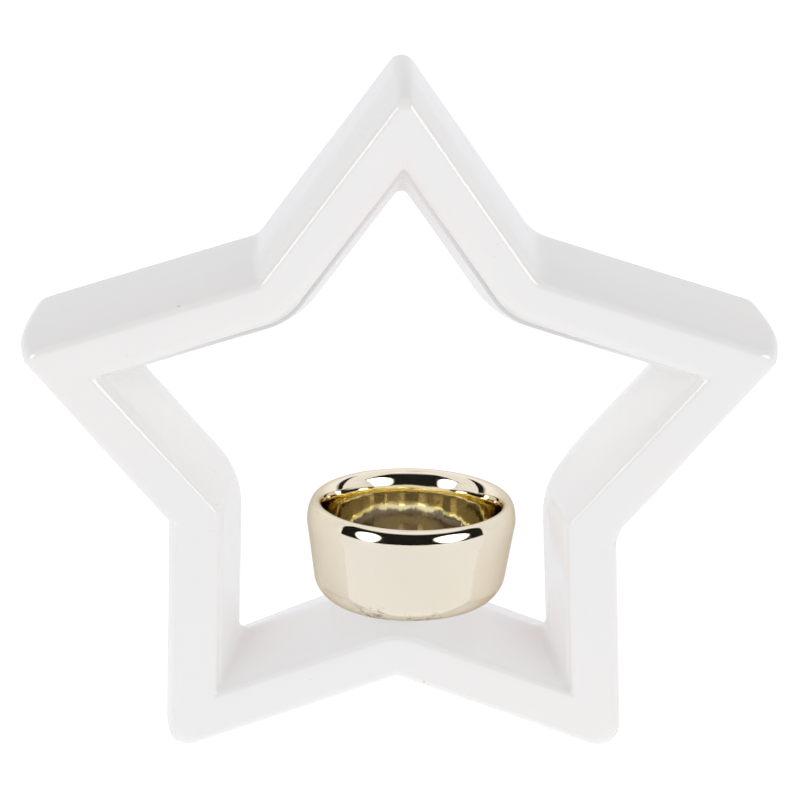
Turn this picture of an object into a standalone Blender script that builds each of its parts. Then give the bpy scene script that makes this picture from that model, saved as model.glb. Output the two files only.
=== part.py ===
"""Star tealight holder: a hollow slip-cast ceramic star frame that stands on its two lower tips, with a
gold-plated ceramic tealight cup cemented to a flat seat on the star's lower inner corner.

Units are metres, +Z is up, -Y is the front. The origin is on the resting plane, under the middle of the star.
"""
import math

import bmesh
import bpy
from mathutils import Matrix, Vector

MM = 0.001

# Star outline: the sharp corners of the front face, clockwise from the top, relative to the star's centre.
# Each row is x, z, then the corner radius of the outer wall and of the inner wall, each at the front edge,
# at the parting line half way back, and at the back edge. All in millimetres.
STAR_CORNERS = [
    (0.7, 86.2, (2.4, 3.0, 3.6), (0.8, 2.0, 2.6)),
    (30.7, 43.0, (6.0, 9.0, 11.0), (14.0, 24.0, 24.0)),
    (85.9, 25.8, (2.4, 3.4, 4.4), (0.8, 2.0, 2.6)),
    (49.2, -17.2, (9.0, 10.0, 10.0), (2.5, 18.0, 20.0)),
    (51.7, -70.1, (4.6, 4.6, 4.6), (0.8, 2.0, 2.6)),
    (0.4, -50.9, (2.0, 2.5, 3.0), (14.0, 18.0, 20.0)),
    (-51.4, -69.8, (4.0, 4.0, 4.0), (0.8, 2.0, 2.6)),
    (-50.5, -15.1, (1.5, 2.0, 2.5), (2.5, 18.0, 20.0)),
    (-85.0, 25.2, (2.4, 3.6, 4.4), (0.8, 2.0, 2.6)),
    (-31.3, 42.2, (3.0, 4.0, 5.0), (14.0, 24.0, 24.0)),
]
LOWER_NOTCH = 5                   # places of two corners in the list
LEFT_FOOT = 6
LEFT_NOTCH_SAG = 2.0 * MM         # the inner corner over the left foot has sunk this much at the back
STAR_CENTRE_X = -0.52 * MM         # puts the origin under the middle of the whole object
STAR_CENTRE_Z = 68.2 * MM
STAR_DEPTH = 41.4 * MM
BAND_WIDTH = 10.4 * MM            # front face, from its outer edge to its inner edge
OUTER_DRAFT = (0.0, 1.6 * MM, 1.2 * MM)   # how far the outer wall stands out: front, middle, back
INNER_DRAFT = (0.0, 4.6 * MM, 0.5 * MM)   # how far the inner wall stands in: front, middle, back
FRONT_OUTER_FILLET = 1.8 * MM
FRONT_INNER_FILLET = 1.2 * MM
BACK_FILLET = 2.0 * MM
FILLET_STEPS = 3
ARC_STEPS = 5
DRAFT_STATIONS = (-0.62, -0.22, 0.0, 0.22, 0.62)   # depths of the wall rings, as fractions of half the depth

CAST_WALL = 3.5 * MM              # thickness that the slip leaves on the mould
CAVITY_STATIONS = (-1.0, -0.5, 0.0, 0.5, 1.0)      # depths of the cavity's rings, front end to back end
VENT_RADIUS = 2.5 * MM
VENT_X = -26.0 * MM
VENT_LENGTH = 2.4 * CAST_WALL
VENT_SIDES = 20

# Tealight cup, turned about its own axis.
CUP_X = 3.1 * MM                  # the cup is cemented a little to the right of the star's middle
CUP_BASE_Z = 29.6 * MM
CUP_HEIGHT = 23.8 * MM
CUP_MAX_RADIUS = 24.2 * MM
CUP_LIP_RADIUS = 22.3 * MM        # where the lip is highest
CUP_MOUTH_RADIUS = 19.95 * MM
CUP_LIP_OUTER_DROP = 3.6 * MM
CUP_LIP_INNER_DROP = 5.5 * MM
CUP_TAPER = math.radians(8.5)
CUP_BASE_CORNER = 6.6 * MM
CUP_DEPTH = 21.6 * MM
CUP_FLOOR_CORNER = 4.5 * MM
CUP_FLOOR_WALL_RADIUS = 19.7 * MM
CUP_SIDES = 48
LIP_STEPS = 4
CORNER_STEPS = 5

# Adhesive bed between the cup's base and the star's seat.
CONTACT_GAP = 0.3 * MM
ADHESIVE_THICKNESS = 0.4 * MM
ADHESIVE_HALF_WIDTH = 7.0 * MM
ADHESIVE_HALF_DEPTH = 12.5 * MM
ADHESIVE_SIDES = 36
SEAT_Z = CUP_BASE_Z - 2 * CONTACT_GAP - ADHESIVE_THICKNESS
SEAT_HALF_WIDTH = 20.0 * MM       # the seat is ground level across the middle of the lower inner corner
SEAT_CLEARANCE = 10.0 * MM        # how far the seat's cutters run past the solid

GLAZE_WHITE = (0.86, 0.85, 0.84, 1.0)
GOLD_PLATE = (0.86, 0.76, 0.52, 1.0)
CLEAR_CEMENT = (0.80, 0.76, 0.68, 1.0)


def make_material(name, colour, roughness, metallic=0.0):
    material = bpy.data.materials.new(name)
    material.use_nodes = True
    shader = material.node_tree.nodes["Principled BSDF"]
    shader.inputs["Base Color"].default_value = colour
    shader.inputs["Roughness"].default_value = roughness
    shader.inputs["Metallic"].default_value = metallic
    material.diffuse_color = colour
    return material


def add_object(name, bm, material=None):
    mesh = bpy.data.meshes.new(name)
    bm.to_mesh(mesh)
    bm.free()
    obj = bpy.data.objects.new(name, mesh)
    bpy.context.collection.objects.link(obj)
    if material:
        mesh.materials.append(material)
        mesh.shade_smooth()
        mesh.set_sharp_from_angle(angle=math.radians(35))
    return obj


def add_cutter(target, name, bm):
    """Cut a closed mesh out of target, and return the cutter."""
    cutter = add_object(name, bm)
    cutter.hide_render = True
    cutter.display_type = "WIRE"
    modifier = target.modifiers.new(name, "BOOLEAN")
    modifier.operation = "DIFFERENCE"
    modifier.object = cutter
    return cutter


# ---------------------------------------------------------------- outline

def direction(start, end):
    length = math.dist(start, end)
    return (end[0] - start[0]) / length, (end[1] - start[1]) / length


def offset_corners(corners, distance):
    """Move every edge of a clockwise outline outwards by distance and return its new corners."""
    count = len(corners)
    moved = []
    for i in range(count):
        ax, az = direction(corners[i - 1], corners[i])
        bx, bz = direction(corners[i], corners[(i + 1) % count])
        scale = distance / (1 + ax * bx + az * bz)
        moved.append((corners[i][0] - scale * (az + bz), corners[i][1] + scale * (ax + bx)))
    return moved


def round_corners(corners, radii):
    """Replace each corner by an arc of ARC_STEPS chords and return the outline's points."""
    count = len(corners)
    points = []
    for i in range(count):
        ax, az = direction(corners[i - 1], corners[i])
        bx, bz = direction(corners[i], corners[(i + 1) % count])
        turn = math.atan2(ax * bz - az * bx, ax * bx + az * bz)
        tangent = radii[i] * math.tan(abs(turn) / 2)
        side = math.copysign(radii[i], turn)
        start = (corners[i][0] - tangent * ax, corners[i][1] - tangent * az)
        centre = (start[0] - side * az, start[1] + side * ax)
        for k in range(ARC_STEPS + 1):
            c, s = math.cos(turn * k / ARC_STEPS), math.sin(turn * k / ARC_STEPS)
            dx, dz = start[0] - centre[0], start[1] - centre[1]
            points.append((centre[0] + c * dx - s * dz, centre[1] + s * dx + c * dz))
    return points


def between(values, t):
    """Read a (front, middle, back) triple at depth t, from -1 at the front to 1 at the back."""
    front, middle, back = values
    return middle + (front - middle) * -t if t < 0 else middle + (back - middle) * t


CORNERS = [(x * MM + STAR_CENTRE_X, z * MM + STAR_CENTRE_Z) for x, z, _, _ in STAR_CORNERS]
INNER_CORNERS = offset_corners(CORNERS, -BAND_WIDTH)
SEAT_CORNER = INNER_CORNERS[LOWER_NOTCH]


def outer_ring(y, inset):
    """Points of the outer wall at depth y, set in from the wall's own draft by inset."""
    t = y / (STAR_DEPTH / 2)
    corners = offset_corners(CORNERS, between(OUTER_DRAFT, t) - inset)
    radii = [between(row[2], t) * MM for row in STAR_CORNERS]
    return [(x, y, z) for x, z in round_corners(corners, radii)]


def inner_ring(y, inset):
    """Points of the inner wall at depth y, set back into the material by inset."""
    t = y / (STAR_DEPTH / 2)
    corners = list(INNER_CORNERS)
    corners[LEFT_FOOT] = (corners[LEFT_FOOT][0], corners[LEFT_FOOT][1] - LEFT_NOTCH_SAG * max(t, 0.0))
    corners = offset_corners(corners, inset - between(INNER_DRAFT, t))
    radii = [between(row[3], t) * MM for row in STAR_CORNERS]
    return [(x, y, z) for x, z in round_corners(corners, radii)]


def ground(points, height):
    """Flatten the feet: nothing lies below height."""
    return [(x, y, max(z, height)) for x, y, z in points]


def loft(rings):
    """Join rings of equal length, each to the next and the last to the first, into a closed tube."""
    bm = bmesh.new()
    rows = [[bm.verts.new(point) for point in ring] for ring in rings]
    for row, following in zip(rows, rows[1:] + rows[:1]):
        for i, vertex in enumerate(row):
            j = (i + 1) % len(row)
            bm.faces.new((vertex, row[j], following[j], following[i]))
    bmesh.ops.recalc_face_normals(bm, faces=bm.faces)
    return bm


def fillet_arc(radius):
    """Steps over a rounded edge, from the flat face to the wall, as (inset, depth from the face)."""
    angles = [math.pi / 2 * k / FILLET_STEPS for k in range(FILLET_STEPS + 1)]
    return [(radius * (1 - math.sin(a)), radius * (1 - math.cos(a))) for a in angles]


# ---------------------------------------------------------------- pieces

def star_surface():
    half = STAR_DEPTH / 2
    outer = [outer_ring(-half + depth, inset) for inset, depth in fillet_arc(FRONT_OUTER_FILLET)]
    outer += [outer_ring(half * t, 0.0) for t in DRAFT_STATIONS]
    outer += [outer_ring(half - depth, inset) for inset, depth in reversed(fillet_arc(BACK_FILLET))]
    inner = [inner_ring(half - depth, inset) for inset, depth in fillet_arc(BACK_FILLET)]
    inner += [inner_ring(half * t, 0.0) for t in reversed(DRAFT_STATIONS)]
    inner += [inner_ring(-half + depth, inset) for inset, depth in reversed(fillet_arc(FRONT_INNER_FILLET))]
    return loft([ground(ring, 0.0) for ring in outer] + inner)


def star_cavity():
    """The hollow that is left when the slip is poured out."""
    reach = STAR_DEPTH / 2 - CAST_WALL
    depths = [reach * t for t in CAVITY_STATIONS]
    outer = [ground(outer_ring(y, CAST_WALL), CAST_WALL) for y in depths]
    inner = [inner_ring(y, CAST_WALL) for y in reversed(depths)]
    return loft(outer + inner)


def seat_block(floor):
    """A block that stands on the height floor and takes off the crown of the lower inner corner."""
    bm = bmesh.new()
    size = Matrix.Diagonal((2 * SEAT_HALF_WIDTH, STAR_DEPTH + SEAT_CLEARANCE, SEAT_CLEARANCE, 1.0))
    middle = Matrix.Translation((SEAT_CORNER[0], 0.0, floor + SEAT_CLEARANCE / 2))
    bmesh.ops.create_cube(bm, size=1.0, matrix=middle @ size)
    return bm


def vent_cutter():
    """A short hole from the cavity down through the underside of the left lower bar."""
    ax, az = direction(CORNERS[LOWER_NOTCH], CORNERS[LEFT_FOOT])
    run = (VENT_X - CORNERS[LOWER_NOTCH][0]) / ax
    centre = Vector((VENT_X, 0.0, CORNERS[LOWER_NOTCH][1] + run * az))
    square_to_bar = Matrix.Rotation(-math.atan2(az, ax), 4, "Y")
    bm = bmesh.new()
    bmesh.ops.create_cone(bm, cap_ends=True, segments=VENT_SIDES, radius1=VENT_RADIUS, radius2=VENT_RADIUS,
                          depth=VENT_LENGTH, matrix=Matrix.Translation(centre) @ square_to_bar)
    return bm


def make_star():
    star = add_object("star_frame", star_surface(), make_material("white_glaze", GLAZE_WHITE, 0.12))
    cavity = add_cutter(star, "cavity_cutter", star_cavity())
    add_cutter(cavity, "cavity_seat_cutter", seat_block(SEAT_Z - CAST_WALL))
    add_cutter(star, "vent_cutter", vent_cutter())
    add_cutter(star, "seat_cutter", seat_block(SEAT_Z))


def arc(centre, radii, start, end, steps):
    """Points on an elliptic arc in the turning plane, angles in radians, end point included."""
    angles = [start + (end - start) * k / steps for k in range(steps + 1)]
    return [(centre[0] + radii[0] * math.cos(a), centre[1] + radii[1] * math.sin(a)) for a in angles]


def cup_profile():
    """Radius and height of the cup's section, from the middle of its base, up the outside, to its floor."""
    quarter = math.pi / 2
    wall_low = CUP_BASE_CORNER * (1 - math.sin(CUP_TAPER))
    wall_run = CUP_HEIGHT - CUP_LIP_OUTER_DROP - wall_low
    wall_foot_radius = CUP_MAX_RADIUS - wall_run * math.tan(CUP_TAPER)
    corner = (wall_foot_radius - CUP_BASE_CORNER * math.cos(CUP_TAPER), CUP_BASE_CORNER)
    floor_z = CUP_HEIGHT - CUP_DEPTH
    base = arc(corner, (CUP_BASE_CORNER, CUP_BASE_CORNER), -quarter, -CUP_TAPER, CORNER_STEPS)
    lip_outer = arc((CUP_LIP_RADIUS, CUP_HEIGHT - CUP_LIP_OUTER_DROP),
                    (CUP_MAX_RADIUS - CUP_LIP_RADIUS, CUP_LIP_OUTER_DROP), 0.0, quarter, LIP_STEPS)
    lip_inner = arc((CUP_LIP_RADIUS, CUP_HEIGHT - CUP_LIP_INNER_DROP),
                    (CUP_LIP_RADIUS - CUP_MOUTH_RADIUS, CUP_LIP_INNER_DROP), quarter, math.pi, LIP_STEPS)
    floor = arc((CUP_FLOOR_WALL_RADIUS - CUP_FLOOR_CORNER, floor_z + CUP_FLOOR_CORNER),
                (CUP_FLOOR_CORNER, CUP_FLOOR_CORNER), 0.0, -quarter, CORNER_STEPS)
    return base + lip_outer + lip_inner[1:] + floor


def turn(profile, sides, centre, squash=1.0):
    """Spin a profile that starts and ends on flat ends about a vertical axis, into one closed body."""
    bm = bmesh.new()
    rows = []
    for k in range(sides):
        c, s = math.cos(math.tau * k / sides), math.sin(math.tau * k / sides)
        rows.append([bm.verts.new((centre[0] + r * c * squash, centre[1] + r * s, centre[2] + z))
                     for r, z in profile])
    for k, row in enumerate(rows):
        following = rows[(k + 1) % sides]
        for i in range(len(profile) - 1):
            bm.faces.new((row[i], following[i], following[i + 1], row[i + 1]))
    bm.faces.new([row[0] for row in reversed(rows)])
    bm.faces.new([row[-1] for row in rows])
    bmesh.ops.recalc_face_normals(bm, faces=bm.faces)
    return bm


def make_cup():
    body = turn(cup_profile(), CUP_SIDES, (CUP_X, 0.0, CUP_BASE_Z))
    add_object("tealight_cup", body, make_material("gold_plate", GOLD_PLATE, 0.06, 1.0))


def make_adhesive():
    """A squeezed-out bed of cement, oval because the seat is longer from front to back."""
    bulge = ADHESIVE_THICKNESS / 2
    rim = arc((ADHESIVE_HALF_DEPTH - bulge, bulge), (bulge, bulge), -math.pi / 2, math.pi / 2, 4)
    squash = ADHESIVE_HALF_WIDTH / ADHESIVE_HALF_DEPTH
    bed = turn(rim, ADHESIVE_SIDES, (SEAT_CORNER[0], 0.0, SEAT_Z + CONTACT_GAP), squash)
    add_object("cup_adhesive", bed, make_material("cement", CLEAR_CEMENT, 0.35))


def clear_scene():
    for obj in list(bpy.data.objects):
        bpy.data.objects.remove(obj, do_unlink=True)


clear_scene()
make_star()
make_cup()
make_adhesive()
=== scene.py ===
"""Looks for the star tealight holder: a white glazed ceramic star with a mirror-gold tealight cup."""

import math

import bmesh
import bpy
import numpy as np
from mathutils import Matrix, Vector, noise


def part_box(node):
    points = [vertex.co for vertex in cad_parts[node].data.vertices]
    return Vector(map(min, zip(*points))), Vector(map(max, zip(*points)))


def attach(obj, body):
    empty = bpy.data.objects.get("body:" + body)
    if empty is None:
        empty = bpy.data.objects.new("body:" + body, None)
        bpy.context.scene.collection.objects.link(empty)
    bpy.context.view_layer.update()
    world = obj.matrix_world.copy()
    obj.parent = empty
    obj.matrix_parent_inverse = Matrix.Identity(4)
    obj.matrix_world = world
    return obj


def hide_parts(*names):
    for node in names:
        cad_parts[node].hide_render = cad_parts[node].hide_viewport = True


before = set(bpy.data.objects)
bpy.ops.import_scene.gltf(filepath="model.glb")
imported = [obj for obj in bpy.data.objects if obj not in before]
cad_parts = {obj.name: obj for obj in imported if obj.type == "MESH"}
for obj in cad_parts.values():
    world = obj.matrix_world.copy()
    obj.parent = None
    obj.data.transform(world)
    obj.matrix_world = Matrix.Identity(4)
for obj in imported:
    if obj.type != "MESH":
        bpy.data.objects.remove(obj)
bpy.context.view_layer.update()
MM = 0.001

# ---------------------------------------------------------------- driving dimensions

# Star outline, clockwise from the top, relative to the star's centre: x, z, then the outer corner's and the
# inner corner's radii, each at the front edge, the parting line and the back edge. All in millimetres.
STAR_CORNERS = [
    (0.7, 85.8, (2.1, 2.7, 3.3), (0.8, 2.0, 2.6)),
    (30.7, 43.0, (6.0, 9.0, 11.0), (14.0, 24.0, 24.0)),
    (85.8, 25.8, (2.4, 3.4, 4.4), (0.8, 2.0, 2.6)),
    (49.2, -17.2, (9.0, 10.0, 10.0), (2.5, 18.0, 20.0)),
    (51.7, -70.1, (4.6, 4.6, 4.6), (0.8, 2.0, 2.6)),
    (0.4, -50.9, (2.0, 2.5, 3.0), (14.0, 18.0, 20.0)),
    (-51.4, -69.8, (4.0, 4.0, 4.0), (0.8, 2.0, 2.6)),
    (-50.5, -15.1, (1.5, 2.0, 2.5), (2.5, 18.0, 20.0)),
    (-84.85, 25.2, (2.4, 3.6, 4.4), (0.8, 2.0, 2.6)),
    (-31.3, 42.2, (3.0, 4.0, 5.0), (14.0, 24.0, 24.0)),
]
# Fillet of the front face's inner edge at each corner: the glaze is thick and soft along the upper bars.
FRONT_INNER_FILLETS = [2.8, 3.6, 2.2, 1.1, 1.1, 1.6, 1.4, 1.1, 2.2, 3.6]
TOP = 0
RIGHT_FOOT = 4
LOWER_NOTCH = 5
LEFT_FOOT = 6
LEFT_NOTCH_SAG = 2.0 * MM
BAND_WIDTH = 10.4 * MM
OUTER_DRAFT = (0.0, 1.6 * MM, 1.2 * MM)
INNER_DRAFT = (0.0, 4.6 * MM, 0.5 * MM)
# Half width of the rounded parting line, as a fraction of half the depth.
OUTER_SOFTNESS = 0.80
INNER_SOFTNESS = 0.32
FRONT_OUTER_FILLET = 1.8 * MM
BACK_FILLET = 2.0 * MM
INNER_WALL_START = 1.2 * MM       # how far behind the front face the inner wall's own rows begin
STAR_WAVES = ((0.16 * MM, 26 * MM), (0.05 * MM, 8 * MM))      # amplitude and length of its unevenness
BARE_FOOT_HEIGHT = 0.45 * MM      # the glaze is wiped off the feet up to about here
BARE_FOOT_FADE = 1.6
UNDERSIDE_LIMIT = -0.2            # surfaces that face down, sideways or only slightly up
# Painted shade: the glaze is painted darker and browner in the inner corners where shade falls. Corner,
# reach, facing up or down, share, and how far back it starts.
PAINTED_SHADE_CORNERS = [
    (RIGHT_FOOT, 14.0 * MM, 1.0, 1.0, -17 * MM),
    (LEFT_FOOT, 10.0 * MM, 1.0, 0.8, -17 * MM),
    (TOP, 16.0 * MM, -1.0, 1.5, -38 * MM),
]
PAINTED_SHADE_RAMP = 15 * MM
SEAT_HALF_WIDTH = 20.0 * MM
SEAT_HEADROOM = 8.0 * MM
SEAT_SOFTNESS = 0.35 * MM
CONTACT_GAP = 0.3 * MM

star_low, star_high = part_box("star_frame")
cup_low, cup_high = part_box("tealight_cup")
bed_low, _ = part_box("cup_adhesive")
STAR_DEPTH = star_high.y - star_low.y
STAR_CENTRE_X = -0.52 * MM
STAR_CENTRE_Z = 68.2 * MM
SEAT_Z = bed_low.z - CONTACT_GAP
CUP_X = (cup_low.x + cup_high.x) / 2
CUP_BASE_Z = cup_low.z
CUP_HEIGHT = cup_high.z - cup_low.z
CUP_MAX_RADIUS = (cup_high.x - cup_low.x) / 2

ARC_STEPS = 14
EDGE_STEPS = 16
FILLET_STEPS = 7
WALL_STEPS = 26
FACE_STEPS = 6
OUTER_ROWS = 2 * (FILLET_STEPS + 1) + (WALL_STEPS - 1) + (FACE_STEPS - 1)     # rows before the inner side


# ---------------------------------------------------------------- outline

def direction(start, end):
    length = math.dist(start, end)
    return (end[0] - start[0]) / length, (end[1] - start[1]) / length


def offset_corners(corners, distance):
    """Move every edge of a clockwise outline outwards by distance and return its new corners."""
    count = len(corners)
    moved = []
    for i in range(count):
        ax, az = direction(corners[i - 1], corners[i])
        bx, bz = direction(corners[i], corners[(i + 1) % count])
        scale = distance / (1 + ax * bx + az * bz)
        moved.append((corners[i][0] - scale * (az + bz), corners[i][1] + scale * (ax + bx)))
    return moved


def round_outline(corners, radii):
    """Rounded corners as fine arcs, with evenly spaced points on the straight runs between them."""
    count = len(corners)
    arcs = []
    for i in range(count):
        ax, az = direction(corners[i - 1], corners[i])
        bx, bz = direction(corners[i], corners[(i + 1) % count])
        turn = math.atan2(ax * bz - az * bx, ax * bx + az * bz)
        tangent = radii[i] * math.tan(abs(turn) / 2)
        side = math.copysign(radii[i], turn)
        start = (corners[i][0] - tangent * ax, corners[i][1] - tangent * az)
        centre = (start[0] - side * az, start[1] + side * ax)
        arc = []
        for k in range(ARC_STEPS + 1):
            c, s = math.cos(turn * k / ARC_STEPS), math.sin(turn * k / ARC_STEPS)
            dx, dz = start[0] - centre[0], start[1] - centre[1]
            arc.append((centre[0] + c * dx - s * dz, centre[1] + s * dx + c * dz))
        arcs.append(arc)
    points = []
    for i in range(count):
        points += arcs[i]
        end, start = arcs[i][-1], arcs[(i + 1) % count][0]
        for k in range(1, EDGE_STEPS):
            t = k / EDGE_STEPS
            points.append((end[0] + (start[0] - end[0]) * t, end[1] + (start[1] - end[1]) * t))
    return np.array(points)


def corner_values(values):
    """Spread one value per corner over the outline's points, blended along the straight runs."""
    count = len(values)
    out = []
    for i in range(count):
        out += [values[i]] * (ARC_STEPS + 1)
        following = values[(i + 1) % count]
        for k in range(1, EDGE_STEPS):
            t = k / EDGE_STEPS
            out.append(values[i] + (following - values[i]) * t * t * (3 - 2 * t))
    return np.array(out)


def between(values, t):
    """Read a (front, middle, back) triple at depth t, from -1 at the front to 1 at the back."""
    front, middle, back = values
    return middle + (front - middle) * -t if t < 0 else middle + (back - middle) * t


def crowned(values, t, soft):
    """Like between, but with the ridge at the parting line rounded over, and as high as before."""
    front, middle, back = values
    end = front if t < 0 else back
    rise = (middle - end) / (1 - soft / 2)
    a = abs(t)
    fall = a * a / (2 * soft) if a < soft else a - soft / 2
    return middle - rise * fall


CORNERS = [(x * MM + STAR_CENTRE_X, z * MM + STAR_CENTRE_Z) for x, z, _, _ in STAR_CORNERS]
INNER_CORNERS = offset_corners(CORNERS, -BAND_WIDTH)
SEAT_CORNER = INNER_CORNERS[LOWER_NOTCH]


def outer_outline(y, inset=0.0):
    t = y / (STAR_DEPTH / 2)
    corners = offset_corners(CORNERS, crowned(OUTER_DRAFT, t, OUTER_SOFTNESS))
    radii = [between(row[2], t) * MM for row in STAR_CORNERS]
    base = round_outline(corners, radii)
    step = round_outline(offset_corners(corners, -MM), radii) - base
    return base + step * (np.asarray(inset) / MM).reshape(-1, 1)


def inner_outline(y, inset=0.0):
    t = y / (STAR_DEPTH / 2)
    corners = list(INNER_CORNERS)
    corners[LEFT_FOOT] = (corners[LEFT_FOOT][0], corners[LEFT_FOOT][1] - LEFT_NOTCH_SAG * max(t, 0.0))
    corners = offset_corners(corners, -crowned(INNER_DRAFT, t, INNER_SOFTNESS))
    radii = [between(row[3], t) * MM for row in STAR_CORNERS]
    base = round_outline(corners, radii)
    step = round_outline(offset_corners(corners, MM), radii) - base
    return base + step * (np.asarray(inset) / MM).reshape(-1, 1)


# ---------------------------------------------------------------- meshes

def lattice(rows, name, close_rows, caps=()):
    """A mesh from closed rows of points, joined row to row, with extra faces as caps."""
    count, width = len(rows), len(rows[0])
    vertices = np.concatenate(rows)
    faces = []
    for r in range(count if close_rows else count - 1):
        below, above = r * width, (r + 1) % count * width
        for i in range(width):
            j = (i + 1) % width
            faces.append((below + i, below + j, above + j, above + i))
    mesh = bpy.data.meshes.new(name)
    mesh.from_pydata(vertices.tolist(), [], faces + list(caps))
    return mesh


def add_piece(name, mesh, material, node):
    """A finished piece that takes the place of a CAD node."""
    mesh.validate()
    mesh.shade_smooth()
    mesh.materials.append(material)
    piece = bpy.data.objects.new(name, mesh)
    bpy.context.scene.collection.objects.link(piece)
    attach(piece, "root")
    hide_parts(node)
    return piece


def add_attribute(mesh, name, values):
    layer = mesh.attributes.new(name, "FLOAT", "POINT")
    layer.data.foreach_set("value", np.asarray(values, np.float32))


SEED_STEPS = (3.7, 1.9, 5.3)      # how far each step of the seed moves the noise


def undulate(mesh, waves, seed):
    """Push the surface in and out by smooth noise: waves are (amplitude, wavelength) pairs."""
    shift = Vector([seed * step for step in SEED_STEPS])
    normals = [v.normal.copy() for v in mesh.vertices]
    for vertex, normal in zip(mesh.vertices, normals):
        height = sum(a * noise.noise(vertex.co / w + shift) for a, w in waves)
        vertex.co += normal * height


def outward(mesh):
    """Turn the faces outwards."""
    bm = bmesh.new()
    bm.from_mesh(mesh)
    bmesh.ops.recalc_face_normals(bm, faces=bm.faces)
    bm.to_mesh(mesh)
    bm.free()


# ---------------------------------------------------------------- star

def star_rows():
    """Rows of the star's skin, once around its cross section, with a flag for rows on an edge."""
    front, back = -STAR_DEPTH / 2, STAR_DEPTH / 2
    back_wall_end = back - BACK_FILLET
    rows = []
    edge = []
    angles = [math.pi / 2 * k / FILLET_STEPS for k in range(FILLET_STEPS + 1)]
    front_inner = corner_values(FRONT_INNER_FILLETS) * MM
    width = len(front_inner)

    def add(outline, y, weight):
        rows.append(np.column_stack([outline[:, 0], np.broadcast_to(y, width), outline[:, 1]]))
        edge.append(np.full(width, weight))

    def add_front_fillet(outline, radius, a):
        add(outline(front, radius * (1 - math.sin(a))), front + radius * (1 - math.cos(a)), math.sin(2 * a))

    def add_back_fillet(outline, a):
        add(outline(back_wall_end, BACK_FILLET * (1 - math.sin(a))), back - BACK_FILLET * (1 - math.cos(a)),
            math.sin(2 * a))

    def add_wall(outline, start, end):
        for k in range(1, WALL_STEPS):
            y = start + (end - start) * k / WALL_STEPS
            add(outline(y), y, 0.0)

    def add_face(start, end, y):
        for k in range(1, FACE_STEPS):
            add(start + (end - start) * k / FACE_STEPS, y, 0.0)

    for a in angles:
        add_front_fillet(outer_outline, FRONT_OUTER_FILLET, a)
    add_wall(outer_outline, front + FRONT_OUTER_FILLET, back_wall_end)
    for a in reversed(angles):
        add_back_fillet(outer_outline, a)
    add_face(outer_outline(back_wall_end, BACK_FILLET), inner_outline(back_wall_end, BACK_FILLET), back)
    for a in angles:
        add_back_fillet(inner_outline, a)
    add_wall(inner_outline, back_wall_end, front + INNER_WALL_START)
    for a in reversed(angles):
        add_front_fillet(inner_outline, front_inner, a)
    add_face(inner_outline(front, front_inner), outer_outline(front, FRONT_OUTER_FILLET), front)
    return rows, edge


def cut_seat(row):
    """Flatten the part of an inner row that crosses the cup's seat, with a soft edge."""
    over = row[:, 2] - SEAT_Z
    near = (np.abs(row[:, 0] - SEAT_CORNER[0]) < SEAT_HALF_WIDTH) & (over < SEAT_HEADROOM)
    level = SEAT_Z + 0.5 * (over - np.sqrt(over ** 2 + SEAT_SOFTNESS ** 2))
    row[:, 2] = np.where(near, level, row[:, 2])


def painted_shade_in_corners(mesh, first_inner):
    """How much painted shade darkens the glaze at each point, in the inner corners of the feet and the top.
    """
    co = np.array([v.co for v in mesh.vertices])
    facing = np.array([v.normal.z for v in mesh.vertices])
    parting = offset_corners(INNER_CORNERS, -INNER_DRAFT[1])
    tone = np.zeros(len(co))
    for corner, reach, side, share, start in PAINTED_SHADE_CORNERS:
        away = np.hypot(co[:, 0] - parting[corner][0], co[:, 2] - parting[corner][1])
        depth = np.clip((co[:, 1] - start) / PAINTED_SHADE_RAMP, 0, 1)
        tone += share * np.exp(-(away / reach) ** 2) * np.clip(facing * side, 0, 1) * depth
    return tone * (np.arange(len(co)) >= first_inner)


def bare_feet(mesh):
    """One under the feet, fading out with height."""
    heights = np.array([v.co.z for v in mesh.vertices])
    downs = np.array([-v.normal.z for v in mesh.vertices])
    return np.clip(BARE_FOOT_FADE - heights / BARE_FOOT_HEIGHT, 0, 1) * (downs > UNDERSIDE_LIMIT)


def make_star(material):
    rows, edge = star_rows()
    for k, row in enumerate(rows):
        row[:, 2] = np.maximum(row[:, 2], 0.0)
        if k >= OUTER_ROWS:
            cut_seat(row)
    mesh = lattice(rows, "star_skin", True)
    outward(mesh)
    undulate(mesh, STAR_WAVES, seed=2)
    for vertex in mesh.vertices:
        vertex.co.z = max(vertex.co.z, 0.0)
    add_attribute(mesh, "edge", np.concatenate(edge))
    # painted shade for the inner corners of the feet and the top
    add_attribute(mesh, "painted_corner_shade", painted_shade_in_corners(mesh, OUTER_ROWS * len(rows[0])))
    add_attribute(mesh, "bare_foot", bare_feet(mesh))
    add_piece("star_body", mesh, material, "star_frame")


# ---------------------------------------------------------------- cup

CUP_LIP_RADIUS = 22.3 * MM
CUP_MOUTH_RADIUS = 19.95 * MM
LIP_OUTER_DROP = 5.0 * MM
LIP_INNER_DROP = 5.5 * MM
CUP_TAPER = math.radians(8.5)
BASE_CORNER = 6.6 * MM
CUP_DEPTH = 21.6 * MM
FLOOR_CORNER = 2.6 * MM
FLOOR_WALL_RADIUS = 19.7 * MM
CUP_AXIS_HOLE = 0.3 * MM          # the smallest ring of points, closed by a cap
CUP_SIDES = 240
BASE_STEPS = 6
CUP_ARC_STEPS = 14
CUP_WALL_STEPS = 14
FLOOR_ARC_STEPS = 10
FLOOR_STEPS = 8
LIP_ROWS_INSIDE = 6               # the lower rows of the lip's inner side
INSIDE_ROWS = LIP_ROWS_INSIDE + (CUP_WALL_STEPS - 1) + (FLOOR_ARC_STEPS + 1) + FLOOR_STEPS
CUP_WAVES = ((0.07 * MM, 14 * MM), (0.02 * MM, 5 * MM))
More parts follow.
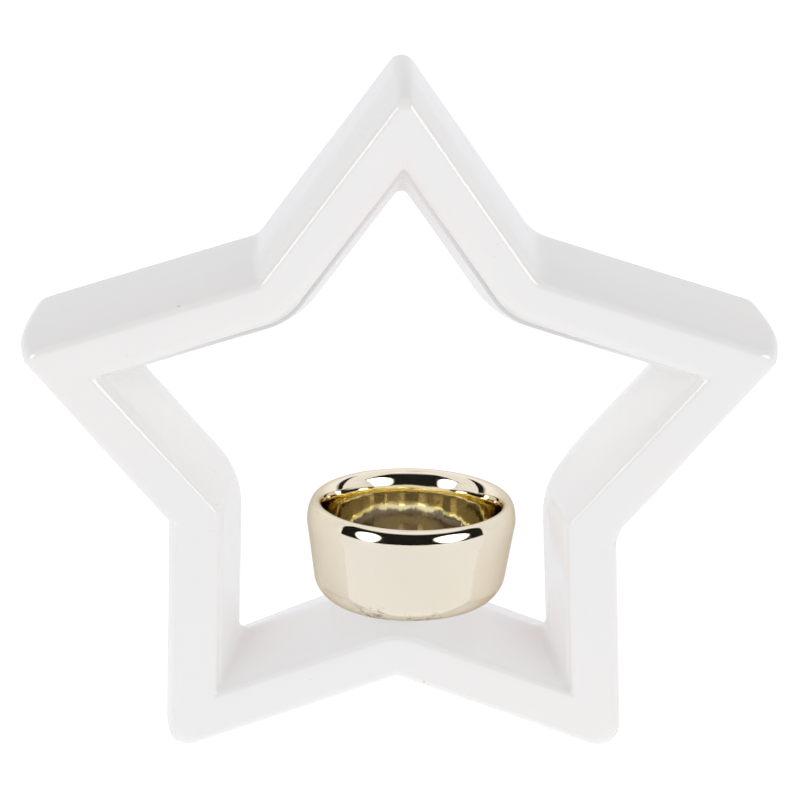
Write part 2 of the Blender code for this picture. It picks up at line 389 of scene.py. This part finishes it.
# The inside's colour starts this far below the rim, and is full at twice that.
INSIDE_COLOUR_DROP = 2.5 * MM
DULL_AT_FLOOR = 1.1
DULL_RISE = 2.4 * MM              # how far the dull floor climbs the corner
WEAR_PATCHES = [(-0.46, 0.22), (0.16, 0.21)]      # bearing from the front and half width, in radians
WEAR_AT_BASE = 1.15
WEAR_HEIGHT = 5.5 * MM
WEAR_MIN_RADIUS = 12 * MM
CUP_LEAN = 0.022                  # the hand-finished cup leans a little to the right as it rises
CUP_RIM_TILT = 0.007              # and its rim is a little lower on the right


def arc(centre, radii, start, end, steps):
    """Points on an elliptic arc, both ends included."""
    angles = [start + (end - start) * k / steps for k in range(steps + 1)]
    return [(centre[0] + radii[0] * math.cos(a), centre[1] + radii[1] * math.sin(a)) for a in angles]


def run(start, end, steps):
    """Points strictly between two others."""
    return [(start[0] + (end[0] - start[0]) * k / steps, start[1] + (end[1] - start[1]) * k / steps)
            for k in range(1, steps)]


def cup_profile():
    """Radius and height from the middle of the base, up the outside, over the lip and down to the floor."""
    quarter = math.pi / 2
    wall_low = BASE_CORNER * (1 - math.sin(CUP_TAPER))
    wall_run = CUP_HEIGHT - LIP_OUTER_DROP - wall_low
    foot_radius = CUP_MAX_RADIUS - wall_run * math.tan(CUP_TAPER)
    corner = (foot_radius - BASE_CORNER * math.cos(CUP_TAPER), BASE_CORNER)
    floor_z = CUP_HEIGHT - CUP_DEPTH
    base_middle, floor_middle = (CUP_AXIS_HOLE, 0.0), (CUP_AXIS_HOLE, floor_z)
    base = arc(corner, (BASE_CORNER, BASE_CORNER), -quarter, -CUP_TAPER, CUP_ARC_STEPS)
    lip_outer = arc((CUP_LIP_RADIUS, CUP_HEIGHT - LIP_OUTER_DROP),
                    (CUP_MAX_RADIUS - CUP_LIP_RADIUS, LIP_OUTER_DROP), 0.0, quarter, CUP_ARC_STEPS)
    lip_inner = arc((CUP_LIP_RADIUS, CUP_HEIGHT - LIP_INNER_DROP),
                    (CUP_LIP_RADIUS - CUP_MOUTH_RADIUS, LIP_INNER_DROP), quarter, math.pi, CUP_ARC_STEPS)
    floor = arc((FLOOR_WALL_RADIUS - FLOOR_CORNER, floor_z + FLOOR_CORNER), (FLOOR_CORNER, FLOOR_CORNER),
                0.0, -quarter, FLOOR_ARC_STEPS)
    outside = [base_middle] + run(base_middle, base[0], BASE_STEPS) + base
    outside += run(base[-1], lip_outer[0], CUP_WALL_STEPS) + lip_outer
    inside = lip_inner[1:] + run(lip_inner[-1], floor[0], CUP_WALL_STEPS) + floor
    return outside + inside + run(floor[-1], floor_middle, FLOOR_STEPS) + [floor_middle]


def lean(mesh):
    """Set the cup slightly askew."""
    for vertex in mesh.vertices:
        rise = (vertex.co.z - CUP_BASE_Z) / CUP_HEIGHT
        vertex.co.z -= CUP_RIM_TILT * (vertex.co.x - CUP_X) * rise
        vertex.co.x += CUP_LEAN * CUP_HEIGHT * (rise - 0.5)


def mark_cup(mesh):
    """Mark the inside, the dull floor and the scuffed patches low on the front."""
    co = np.array([v.co for v in mesh.vertices])
    height = co[:, 2] - CUP_BASE_Z
    radius = np.hypot(co[:, 0] - CUP_X, co[:, 1])
    bearing = np.arctan2(co[:, 0] - CUP_X, -co[:, 1])
    inside = np.arange(len(co)) >= len(co) - CUP_SIDES * INSIDE_ROWS
    below_lip = np.clip((CUP_HEIGHT - INSIDE_COLOUR_DROP - height) / INSIDE_COLOUR_DROP, 0, 1)
    dull = np.clip(DULL_AT_FLOOR - (height - (CUP_HEIGHT - CUP_DEPTH)) / DULL_RISE, 0, 1)
    patches = sum(np.exp(-((bearing - middle) / width) ** 2) for middle, width in WEAR_PATCHES)
    low_down = np.clip(WEAR_AT_BASE - height / WEAR_HEIGHT, 0, 1)
    wear = low_down * (radius > WEAR_MIN_RADIUS) * ~inside * patches
    add_attribute(mesh, "inside", inside * below_lip)
    add_attribute(mesh, "dull_floor", dull * inside)
    add_attribute(mesh, "base_wear", wear)


def make_cup(material):
    angles = np.linspace(0, math.tau, CUP_SIDES, endpoint=False)
    rows = []
    for r, z in cup_profile():
        rows.append(np.column_stack([CUP_X + r * np.cos(angles), r * np.sin(angles),
                                     np.full(CUP_SIDES, CUP_BASE_Z + z)]))
    count = len(rows) * CUP_SIDES
    caps = [tuple(range(CUP_SIDES)), tuple(range(count - CUP_SIDES, count))]
    mesh = lattice(rows, "cup_skin", False, caps)
    outward(mesh)
    lean(mesh)
    undulate(mesh, CUP_WAVES, seed=7)
    mark_cup(mesh)
    cup = add_piece("cup_body", mesh, material, "tealight_cup")
    cup.visible_diffuse = False       # its shade on the glaze would be darker than in the photo


# ---------------------------------------------------------------- materials

class Nodes:
    """A small helper that adds nodes to a node tree and links them."""

    def __init__(self, tree, coordinates):
        self.tree = tree
        self.position = self.add("TexCoord").outputs[coordinates]

    def add(self, kind, **inputs):
        """A new shader node with values on some of its sockets, underscores standing for spaces."""
        node = self.tree.nodes.new("ShaderNode" + kind)
        for name, value in inputs.items():
            node.inputs[name.replace("_", " ")].default_value = value
        return node

    def link(self, source, target):
        self.tree.links.new(source, target)

    def noise(self, scale, detail=3.0, roughness=0.5, stretch=None):
        """Noise on the piece, drawn out along Z where stretch is below one."""
        node = self.add("TexNoise", Scale=scale, Detail=detail, Roughness=roughness)
        position = self.position
        if stretch:
            squeeze = self.add("Mapping", Scale=(1.0, 1.0, stretch))
            self.link(position, squeeze.inputs["Vector"])
            position = squeeze.outputs["Vector"]
        self.link(position, node.inputs["Vector"])
        return node.outputs["Fac"]

    def dots(self, scale, inner, outer):
        """One inside round dots scattered over the piece, fading out between two radii."""
        node = self.add("TexVoronoi", Scale=scale)
        self.link(self.position, node.inputs["Vector"])
        return self.remap(node.outputs["Distance"], inner, outer, 1.0, 0.0)

    def attribute(self, name):
        node = self.add("Attribute")
        node.attribute_name = name
        return node.outputs["Fac"]

    def remap(self, value, low, high, to_low=0.0, to_high=1.0):
        """A smooth step from low to high."""
        node = self.add("MapRange", From_Min=low, From_Max=high, To_Min=to_low, To_Max=to_high)
        node.interpolation_type = "SMOOTHSTEP"
        self.link(value, node.inputs["Value"])
        return node.outputs["Result"]

    def math(self, operation, *values):
        node = self.add("Math")
        node.operation = operation
        for socket, value in zip(node.inputs, values):
            if isinstance(value, (int, float)):
                socket.default_value = value
            else:
                self.link(value, socket)
        return node.outputs[0]

    def times(self, first, *others):
        for other in others:
            first = self.math("MULTIPLY", first, other)
        return first

    def plus(self, a, b):
        return self.math("ADD", a, b)

    def opposite(self, value):
        """One minus a value."""
        return self.math("SUBTRACT", 1.0, value)

    def blend(self, factor, low, high):
        """From low to high, as numbers."""
        return self.plus(self.times(factor, high - low), low)

    def mix(self, factor, a, b):
        """From colour a to colour b."""
        node = self.add("Mix")
        node.data_type = "RGBA"
        self.link(factor, node.inputs["Factor"])
        for socket, value in ((node.inputs[6], a), (node.inputs[7], b)):
            if isinstance(value, tuple):
                socket.default_value = (*value, 1.0)
            else:
                self.link(value, socket)
        return node.outputs[2]

    def bump(self, height, strength, distance, normal=None):
        node = self.add("Bump", Strength=strength, Distance=distance)
        self.link(height, node.inputs["Height"])
        if normal:
            self.link(normal, node.inputs["Normal"])
        return node.outputs["Normal"]

    def light_path(self, output):
        return self.add("LightPath").outputs[output]

    def after_diffuse(self):
        """One for light that bounces off a matt surface on its way to the camera."""
        return self.math("GREATER_THAN", self.light_path("Diffuse Depth"), 0.5)

    def in_gloss(self):
        """One for what is seen as a reflection only."""
        return self.times(self.light_path("Is Glossy Ray"),
                          self.math("LESS_THAN", self.light_path("Diffuse Depth"), 0.5))


class Surface(Nodes):
    """The nodes of one material, around its Principled shader."""

    def __init__(self, name):
        self.material = bpy.data.materials.new(name)
        self.material.use_nodes = True
        super().__init__(self.material.node_tree, "Object")
        self.inputs = self.tree.nodes["Principled BSDF"].inputs

    def drive(self, socket, source):
        """Link a source to one of the shader's sockets."""
        self.link(source, self.inputs[socket])


GLAZE = (0.945, 0.932, 0.926)
GLAZE_COOL = (0.936, 0.930, 0.932)
GLAZE_WARM = (0.950, 0.925, 0.905)                # thin glaze on the edges
# painted shade, brownish, for the inner corners
GLAZE_PAINTED_SHADE = (0.84, 0.755, 0.735)
# painted light: a brighter glaze colour seen only in light bounced onto the surfaces around it, which lifts
# their shade
GLAZE_PAINTED_BOUNCE_LIGHT = (0.985, 0.975, 0.968)       # what the glaze gives to the surfaces around it
CLAY = (0.72, 0.50, 0.42)
SPECK = (0.74, 0.60, 0.54)
GLAZE_IOR = 1.52


def glaze_material():
    n = Surface("white_glaze")
    clouds = n.remap(n.noise(28.0), 0.35, 0.68)
    colour = n.mix(clouds, GLAZE_COOL, GLAZE)
    # painted shade in the inner corners of the feet and the top
    colour = n.mix(n.attribute("painted_corner_shade"), colour, GLAZE_PAINTED_SHADE)
    thin = n.times(n.attribute("edge"), n.remap(n.noise(140.0, 2.0), 0.35, 0.65, 0.25, 0.8))
    colour = n.mix(thin, colour, GLAZE_WARM)
    spot = n.dots(170.0, 0.05, 0.09)
    coloured = n.remap(n.noise(61.0, 1.0), 0.66, 0.69)
    colour = n.mix(n.times(spot, coloured), colour, SPECK)
    ragged = n.remap(n.noise(420.0), 0.2, 0.8, -0.25, 0.25)
    bare = n.remap(n.plus(n.attribute("bare_foot"), ragged), 0.45, 0.60)
    colour = n.mix(bare, colour, CLAY)
    # painted light: the glaze passes brighter light to its neighbours than its own colour gives
    n.drive("Base Color", n.mix(n.after_diffuse(), colour, GLAZE_PAINTED_BOUNCE_LIGHT))
    gloss = n.remap(n.noise(90.0, 4.0), 0.3, 0.7, 0.07, 0.14)
    n.drive("Roughness", n.plus(gloss, n.times(bare, 0.5)))
    n.inputs["IOR"].default_value = GLAZE_IOR
    ripple = n.bump(n.noise(160.0, 2.0), 0.06, 0.0006)
    sunken = n.remap(n.noise(47.0, 1.0), 0.60, 0.64)
    n.drive("Normal", n.bump(n.times(spot, sunken), 0.5, 0.0002, ripple))
    return n.material


GOLD = (0.930, 0.840, 0.665)
GOLD_DEEP = (0.920, 0.818, 0.625)
GOLD_INSIDE = (0.920, 0.855, 0.610)
GOLD_GRAZING = (0.62, 0.55, 0.46)
# painted light: a brighter gold colour seen only in light bounced onto the surfaces around it
GOLD_PAINTED_BOUNCE_LIGHT = (0.960, 0.930, 0.890)
DULL_FLOOR = (0.140, 0.118, 0.108)
SCUFF = (0.20, 0.18, 0.13)


def gold_dirt(n):
    """Scuffs in clumps on the worn patches, and a few faint flecks all over."""
    wear = n.attribute("base_wear")
    grain = n.plus(n.noise(850.0, 6.0, 0.8), n.times(wear, 0.16))
    clumps = n.remap(n.noise(170.0), 0.40, 0.60)
    patches = n.times(clumps, n.remap(wear, 0.05, 0.45))
    worn = n.times(n.remap(grain, 0.54, 0.67), patches)
    sparse = n.times(n.remap(n.noise(210.0, 2.0), 0.62, 0.68), 0.5)
    flecks = n.times(n.dots(900.0, 0.06, 0.14), sparse)
    return n.math("MAXIMUM", worn, flecks)


def gold_material():
    n = Surface("gold_plate")
    colour = n.mix(n.remap(n.noise(45.0, 2.0), 0.35, 0.65), GOLD_DEEP, GOLD)
    inside = n.attribute("inside")
    colour = n.mix(inside, colour, GOLD_INSIDE)
    patchy = n.plus(n.attribute("dull_floor"), n.remap(n.noise(110.0, 4.0, 0.6), 0.3, 0.7, -0.3, 0.3))
    dull = n.remap(patchy, 0.55, 0.75)
    colour = n.mix(dull, colour, DULL_FLOOR)
    dirt = gold_dirt(n)
    colour = n.mix(dirt, colour, SCUFF)
    # painted light: the gold passes brighter light to its neighbours than its own colour gives
    n.drive("Base Color", n.mix(n.after_diffuse(), colour, GOLD_PAINTED_BOUNCE_LIGHT))
    n.inputs["Metallic"].default_value = 1.0
    n.inputs["Specular Tint"].default_value = (*GOLD_GRAZING, 1.0)
    gloss = n.remap(n.noise(70.0), 0.3, 0.7, 0.035, 0.07)
    n.drive("Roughness", n.plus(n.plus(gloss, n.times(dull, 0.22)), n.times(dirt, 0.4)))
    drips = n.bump(n.times(n.noise(190.0, 2.0, stretch=0.12), inside), 0.22, 0.0008)
    n.drive("Normal", n.bump(n.noise(260.0), 0.05, 0.0003, drips))
    return n.material


CEMENT_DARK = (0.70, 0.64, 0.54)
CEMENT_PALE = (0.82, 0.78, 0.70)


def cement_material():
    n = Surface("clear_cement")
    n.drive("Base Color", n.mix(n.noise(300.0), CEMENT_DARK, CEMENT_PALE))
    n.drive("Roughness", n.remap(n.noise(400.0), 0.3, 0.7, 0.25, 0.5))
    n.drive("Normal", n.bump(n.noise(500.0), 0.3, 0.0003))
    return n.material


# ---------------------------------------------------------------- stage

FLOOR_REACH = 6.0
FLOOR_DARK = (0.80, 0.80, 0.80)
FLOOR_PALE = (0.82, 0.82, 0.82)
FLOOR_GLOW = (0.37, 0.37, 0.37)
FLOOR_GLOW_IN_GLOSS = (0.26, 0.27, 0.31)
FLOOR_GLOW_IN_VIEW = (0.60, 0.60, 0.60)


def floor_material():
    """A pale sheet, lit so that it is as white in view as the tent behind it."""
    n = Surface("floor_sheet")
    n.drive("Base Color", n.mix(n.noise(6.0, 2.0), FLOOR_DARK, FLOOR_PALE))
    n.inputs["Roughness"].default_value = 0.7
    n.inputs["Specular IOR Level"].default_value = 0.1
    glow = n.mix(n.in_gloss(), FLOOR_GLOW, FLOOR_GLOW_IN_GLOSS)
    n.drive("Emission Color", n.mix(n.light_path("Is Camera Ray"), glow, FLOOR_GLOW_IN_VIEW))
    n.inputs["Emission Strength"].default_value = 1.0
    return n.material


def make_floor(material):
    mesh = bpy.data.meshes.new("floor")
    r = FLOOR_REACH
    mesh.from_pydata([(-r, -r, 0), (r, -r, 0), (r, r, 0), (-r, r, 0)], [], [(0, 1, 2, 3)])
    mesh.materials.append(material)
    floor = bpy.data.objects.new("floor", mesh)
    bpy.context.scene.collection.objects.link(floor)


# The tent as the gloss sees it. Pairs are the angles in degrees between which a change happens, azimuths
# counted from the front and elevations from the horizon.
TENT_WHITE = 0.95
TENT_OPENING = 0.004
TENT_BEHIND = (105, 114)
TENT_ABOVE = (43, 55)
TENT_FAR = (122, 155)
TENT_FAR_SHARE = 0.82             # the tent's far side, low down, is dimmer
# Two soft lamps in the opening: azimuth, elevation, half width and half height in degrees, and brightness.
LAMPS = [(-50.0, 14.0, 15.0, 15.0, 6.0), (44.0, 14.0, 21.0, 14.0, 6.0)]
LAMP_FALLOFF = (0.30, 1.15)       # squared distances from the middle, counted in half widths
# The light that falls on the surfaces.
FILL_TOP = 0.31
FILL_FRONT = 0.885
FILL_BACK = 1.08
FILL_SIDES = (104, 128)
FILL_OVERHEAD = (44, 56)
FILL_COLOUR = (1.0, 0.996, 0.988)
OVERHEAD_COLOUR = (0.975, 0.950, 1.0)


def change(n, angle, limits):
    """A smooth step between two angles in degrees."""
    return n.remap(angle, math.radians(limits[0]), math.radians(limits[1]))


def lamp_glow(n, bearing, elevation, lamp):
    """The brightness of one elliptical lamp with soft edges."""
    azimuth, height, half_width, half_height, brightness = lamp
    across = n.math("DIVIDE", n.math("SUBTRACT", bearing, math.radians(azimuth)), math.radians(half_width))
    up = n.math("DIVIDE", n.math("SUBTRACT", elevation, math.radians(height)), math.radians(half_height))
    spread = n.plus(n.times(across, across), n.times(up, up))
    return n.times(n.opposite(n.remap(spread, *LAMP_FALLOFF)), brightness)


def tent_in_gloss(n, bearing, azimuth, elevation):
    """A white tent, open and dark at the front as far as half way up, with two lamps in the opening."""
    above = change(n, elevation, TENT_ABOVE)
    low_and_far = n.times(change(n, azimuth, TENT_FAR), n.opposite(above))
    closed = n.math("MAXIMUM", change(n, azimuth, TENT_BEHIND), above)
    seen = n.times(n.blend(closed, TENT_OPENING, TENT_WHITE), n.blend(low_and_far, 1.0, TENT_FAR_SHARE))
    for lamp in LAMPS:
        seen = n.plus(seen, lamp_glow(n, bearing, elevation, lamp))
    return seen


def make_world():
    """A studio tent: one brightness in reflections, one on surfaces, and plain white in view."""
    world = bpy.data.worlds.new("studio_tent")
    bpy.context.scene.world = world
    world.use_nodes = True
    n = Nodes(world.node_tree, "Generated")
    background = n.tree.nodes["Background"].inputs
    split = n.add("SeparateXYZ")
    n.link(n.position, split.inputs["Vector"])
    bearing = n.math("ARCTAN2", split.outputs["X"], n.times(split.outputs["Y"], -1.0))
    azimuth = n.math("ABSOLUTE", bearing)
    elevation = n.math("ARCSINE", split.outputs["Z"])
    around = n.blend(change(n, azimuth, FILL_SIDES), FILL_FRONT, FILL_BACK)
    overhead = change(n, elevation, FILL_OVERHEAD)
    fill = n.plus(n.times(around, n.opposite(overhead)), n.times(overhead, FILL_TOP))
    glossy = n.in_gloss()
    seen = tent_in_gloss(n, bearing, azimuth, elevation)
    level = n.plus(n.times(fill, n.opposite(glossy)), n.times(seen, glossy))
    n.link(n.plus(level, n.light_path("Is Camera Ray")), background["Strength"])
    n.link(n.mix(overhead, FILL_COLOUR, OVERHEAD_COLOUR), background["Color"])


CAMERA_AIM = Vector((0.30, 0.0, 77.26)) * MM
CAMERA_DISTANCE = 824.9 * MM
CAMERA_YAW = 0.0259               # angles in radians
CAMERA_ELEVATION = 0.3005
CAMERA_ROLL = 0.0125
SENSOR_WIDTH = 36.0
LENS = 162.0
CLIP_RANGE = (0.01, 50.0)


def make_camera():
    ahead = Vector((math.sin(CAMERA_YAW) * math.cos(CAMERA_ELEVATION),
                    math.cos(CAMERA_YAW) * math.cos(CAMERA_ELEVATION), -math.sin(CAMERA_ELEVATION)))
    level = Vector((math.cos(CAMERA_YAW), -math.sin(CAMERA_YAW), 0.0))
    up = level.cross(ahead)
    c, s = math.cos(CAMERA_ROLL), math.sin(CAMERA_ROLL)
    camera_x, camera_y = level * c + up * s, up * c - level * s
    data = bpy.data.cameras.new("camera")
    data.sensor_width = SENSOR_WIDTH
    data.lens = LENS
    data.clip_start, data.clip_end = CLIP_RANGE
    camera = bpy.data.objects.new("camera", data)
    bpy.context.scene.collection.objects.link(camera)
    turn = Matrix((camera_x, camera_y, -ahead)).transposed()
    camera.matrix_world = Matrix.Translation(CAMERA_AIM - ahead * CAMERA_DISTANCE) @ turn.to_4x4()
    bpy.context.scene.camera = camera


VIEW_GAMMA = 1.3
MAX_BOUNCES = 16
DIFFUSE_BOUNCES = 8
GLOSSY_BOUNCES = 12


def set_view():
    scene = bpy.context.scene
    scene.view_settings.view_transform = "Standard"
    scene.view_settings.look = "None"
    scene.view_settings.gamma = VIEW_GAMMA
    scene.cycles.max_bounces = MAX_BOUNCES
    scene.cycles.diffuse_bounces = DIFFUSE_BOUNCES
    scene.cycles.glossy_bounces = GLOSSY_BOUNCES


def main():
    make_camera()
    make_world()
    make_floor(floor_material())
    make_star(glaze_material())
    make_cup(gold_material())
    cement = cement_material()
    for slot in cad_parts["cup_adhesive"].material_slots:
        slot.material = cement
    set_view()


main()
